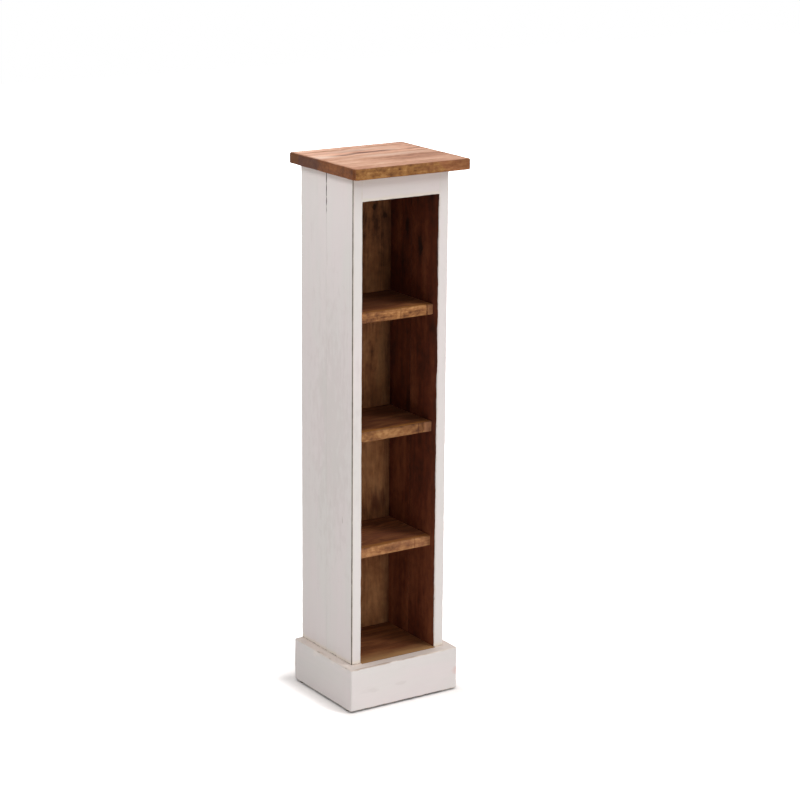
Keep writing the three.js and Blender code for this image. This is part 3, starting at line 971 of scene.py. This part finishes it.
def back_rim(board):
    """Redder clouds in the back boards, and painted shade on their front faces along the side walls."""
    wall_x = max(abs(board.low.x), abs(board.high.x))

    def colour_rim(finish, colour):
        red = finish.step(finish.noise(7, 20, 3.0), 0.0, 1.1, 0.0, 0.5)
        colour = finish.mix(red, colour, back_red)
        # Painted shade in the corners where the back meets the side walls
        uneven = finish.uneven(finish.math("ABSOLUTE", finish.x), corner_waver, 18, 60, 3.0)
        corner = finish.times(finish.near(uneven, wall_x, painted_corner_shade_reach, 0.62),
                              finish.near(finish.y, board.low.y, inner_face))
        return finish.mix(corner, colour, painted_corner_shade)
    return colour_rim


def shelf_pith(board):
    return (0, -0.01, board.low.z - shelf_pith_below)


def shelf_rim(board, shade, lines, block_from, rear_share, blush_share):
    """The sawn front edge of a shelf: lighter and rougher than its faces, with a few dark lines."""
    def colour_rim(finish, colour):
        # Painted light along the front of the shelf, and painted shade towards its back
        uneven = finish.uneven(finish.y, shelf_waver, 25, 120, 3.0)
        front_light = finish.near(uneven, board.low.y, painted_front_light_reach, 0.85)
        colour = finish.mix(front_light, colour, painted_shelf_front_light)
        rear = finish.near(uneven, board.low.y, painted_rear_shade_reach, rear_share)
        colour = finish.mix(rear, colour, painted_shelf_rear_shade)
        rosy = finish.step(finish.noise(14, 40, 3.0), -0.6, 0.9, 0.3 * blush_share, blush_share)
        colour = finish.mix(rosy, colour, shelf_blush)
        tones = shaded(shelf_edge_tones, shade)
        edge, _ = wood(finish, tones, shelf_pith(board), specks=1.05, blotches=2.0)
        edge = finish.mix(rosy, edge, shelf_edge_blush)
        edge = finish.mix(finish.near(finish.x, block_from, block_edge, 0.6), edge, shelf_block)
        for line_x, strength in lines:
            sway = finish.uneven(finish.x, shelf_edge_waver, 160, 160)
            away = finish.math("ABSOLUTE", finish.math("SUBTRACT", sway, line_x))
            edge = finish.mix(finish.step(away, *dark_line, 0.0, strength), edge, shelf_line)
        ragged = finish.uneven(finish.y, shelf_edge_waver, 60, 60, 3.0)
        return finish.mix(finish.near(ragged, board.low.y, shelf_edge), colour, edge)
    return colour_rim


def make_shelves():
    shelves = {
        "upper": (1.34, (2.2, 9.6, 5.1), ((0.0505, 0.85), (0.0085, 0.5)), 0.052, 0.75, 0.1),
        "middle": (0.97, (7.3, 1.4, 0.2), ((0.0387, 0.7), (0.046, 0.55)), 0.048, 0.4, 0.1),
        "lower": (1.2, (4.9, 5.8, 8.4), ((0.034, 0.4),), FAR, 0.0, 0.45),
    }
    for name, (shade, seed, lines, block_from, rear_share, blush_share) in shelves.items():
        board = Board(f"{name}_shelf", "x", ("y-", "z-", "z+"), reach=shelf_arris_reach)
        knots = [((-0.0082, -0.0225, board.high.z), 1.8 * MM, 1.6, 0.8)] if name == "lower" else []
        rim = shelf_rim(board, shade, lines, block_from, rear_share, blush_share)
        material = wood_material(board, seed, shaded(shelf_top_tones, shade), shelf_pith(board), rim,
                                 rings=0.9, blotches=1.4, knots=knots)
        dress(board, material)


def base_rim(board, body_front, half_opening):
    """The floor's front: tan between the sides, and painted in front of them."""
    def colour_rim(finish, colour):
        uneven = finish.uneven(finish.y, sill_waver, 22, 60, 4.0, 0.62)
        tan = finish.step(uneven, body_front + sill_tan_from, board.low.y, 0.0, 0.9)
        colour = finish.mix(tan, colour, floor_front_tan)
        colour = finish.mix(finish.near(finish.y, board.low.y, sill_line_at, 0.6), colour, sill_line)
        beside = finish.near(finish.math("ABSOLUTE", finish.x), half_opening, sill_beside)
        ahead = finish.near(finish.y, body_front, sill_ahead)
        return finish.mix(finish.times(beside, ahead), colour, ledge_tan)
    return colour_rim


def make_base():
    screws = [centre_of(f"base_screw_{place}") for place in
              ("left_front", "left_rear", "right_front", "right_rear", "back_left", "back_right")]
    head_low, head_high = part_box("base_screw_left_front")
    sink_radius = (head_high.x - head_low.x) / 2 + screw_sink_clearance

    def sink(distance):
        return max(0, sink_radius - distance)

    extra = {
        "x": [centre.x + line for centre in screws for line in sink_lines],
        "y": [centre.y + line for centre in screws for line in sink_lines],
    }
    board = Board("base_board", "x", ("z-", "z+", "y-"), reach=base_arris_reach, worn_elsewhere=0.0,
                  dents=[("z-", centre, sink_radius, sink) for centre in screws], extra=extra)
    body_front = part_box("right_side_front_board")[0].y
    half_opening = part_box("right_side_front_board")[0].x
    material = wood_material(board, (6.2, 3.9, 1.1), shaded(shelf_top_tones, 1.12), (0, 0.02, 0.01),
                             base_rim(board, body_front, half_opening))
    dress(board, material)


def make_plinth():
    left_corner, right_corner = [(side, "y-", plinth_corner_radius) for side in ("x-", "x+")]
    front = Board("plinth_front", "x", ("y-", "z-", "z+"), reach=plinth_arris_reach, mitre=front_mitre,
                  corners=(left_corner, right_corner))
    left = Board("plinth_left", "y", ("x-", "z-", "z+", "y+"), reach=plinth_arris_reach,
                 mitre=side_mitre, corners=(left_corner,))
    right = Board("plinth_right", "y", ("x+", "z-", "z+", "y+"), reach=plinth_arris_reach,
                  mitre=side_mitre, corners=(right_corner,))
    arris_y = front.low.y + 0.6 * MM
    arris_z = front.high.z - 0.4 * MM
    stains = [
        ((0.087, front.low.y, 0.029), 6 * MM, 1.0, stain_pink, 0.35),
        ((-0.052, front.low.y, 0.027), 3 * MM, 3.5, smudge_and_shade, 0.18),
        ((-0.007, front.low.y, 0.028), 2.5 * MM, 3.0, smudge_and_shade, 0.2),
        ((-0.055, arris_y, arris_z), 1.3 * MM, 27, ledge_rubbed, 0.7),
        ((0.02, arris_y, arris_z), 1.1 * MM, 32, ledge_rubbed, 0.55),
    ]
    # Painted light on the left ledge, where the body shades it
    pale = ((-0.0795, 0.0, left.high.z), 8 * MM, 9, painted_ledge_light, 0.5)
    for board, seed, marks in ((front, (1.3, 2.4, 3.6), stains), (left, (7.1, 8.2, 9.3), [pale]),
                               (right, (4.1, 0.3, 6.5), [])):
        material = painted_material(board, seed, (0, 0, -0.02), ledge=board.high.z, marks=marks)
        dress(board, material)


def finish_hidden_pieces():
    """Gives the pads, dowels, screws and nails their materials, on the solids as they are."""
    felt, beech, steel = [plain_material(name + "_finish", *look) for name, look in small_looks.items()]
    for name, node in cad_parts.items():
        if node.hide_render:
            continue
        material = steel
        if name.startswith("pad_"):
            material = felt
        elif "_dowel_" in name:
            material = beech
        node.data.materials.clear()
        node.data.materials.append(material)


# Surroundings
def make_floor():
    """A pale floor that the camera sees as white, apart from the tower's own shadow."""
    mesh = bpy.data.meshes.new("floor")
    corners = [(x * floor_half, y * floor_half, 0) for x, y in ((-1, -1), (1, -1), (1, 1), (-1, 1))]
    mesh.from_pydata(corners, [], [(0, 1, 2, 3)])
    floor = add_object("floor", mesh)
    finish = Finish("floor_finish")
    seen = finish.seen()
    outside = finish.vector("SUBTRACT", finish.vector("ABSOLUTE", finish.place, (0, 0, 0)), cad_high)
    away = finish.length(finish.vector("MAXIMUM", outside, (0, 0, 0)))
    seen_colour = finish.mix(finish.step(away, *floor_shade_between), floor_near_colour, floor_far_colour)
    shade = finish.mix(seen, floor_colour, seen_colour)
    matt = finish.node("ShaderNodeBsdfDiffuse", {"Color": shade})
    far = finish.step(away, *floor_glow_between)
    glow = finish.node("ShaderNodeEmission", {"Color": (1, 1, 1, 1), "Strength": finish.times(seen, far)})
    both = finish.node("ShaderNodeAddShader", {0: matt.outputs[0], 1: glow.outputs[0]})
    finish.end("ShaderNodeOutputMaterial", both)
    mesh.materials.append(finish.material)


def make_lamp(name, place, size, power):
    """A white rectangular lamp, turned to the middle of the tower."""
    lamp = bpy.data.lights.new(name, "AREA")
    lamp.shape = "RECTANGLE"
    lamp.size, lamp.size_y = size
    lamp.energy = power
    holder = add_object(name, lamp)
    holder.location = place
    towards = Vector((0, 0, cad_high.z / 2)) - Vector(place)
    holder.rotation_euler = towards.to_track_quat("-Z", "Y").to_euler()
    holder.visible_camera = False


def make_world():
    """White to the camera, and a softer light from all round."""
    world = bpy.data.worlds.new("surroundings")
    bpy.context.scene.world = world
    made = Nodes(world)
    inputs = {"Color": (1, 1, 1, 1), "Strength": made.blend(made.seen(), world_strength, 1.0)}
    made.end("ShaderNodeOutputWorld", made.node("ShaderNodeBackground", inputs))


def make_camera():
    angles = (view_azimuth, view_elevation, view_roll)
    azimuth, elevation, roll = [math.radians(angle) for angle in angles]
    back = Vector((math.sin(azimuth) * math.cos(elevation), -math.cos(azimuth) * math.cos(elevation),
                   math.sin(elevation)))
    right = (-back).cross(Vector((0, 0, 1))).normalized()
    up = right.cross(-back)
    turned_right = right * math.cos(roll) + up * math.sin(roll)
    turned_up = up * math.cos(roll) - right * math.sin(roll)
    target = Vector((0, 0, cad_high.z / 2)) + turned_right * view_offset[0] + turned_up * view_offset[1]
    lens = bpy.data.cameras.new("view")
    lens.sensor_width = sensor_width_mm
    lens.lens = view_focal_pixels * sensor_width_mm / view_width_pixels
    lens.clip_end = view_clip_end
    camera = add_object("view", lens)
    axes = Matrix((turned_right, turned_up, back)).transposed()
    camera.matrix_world = Matrix.Translation(target + back * view_distance) @ axes.to_4x4()
    bpy.context.scene.camera = camera


bpy.context.scene.view_settings.view_transform = "Standard"
make_camera()
make_world()
make_floor()
for lamp_name, (lamp_place, lamp_size, lamp_power) in lamps.items():
    make_lamp(lamp_name, lamp_place, lamp_size, lamp_power)
make_top()
make_sides()
make_rail()
make_back()
make_shelves()
make_base()
make_plinth()
finish_hidden_pieces()
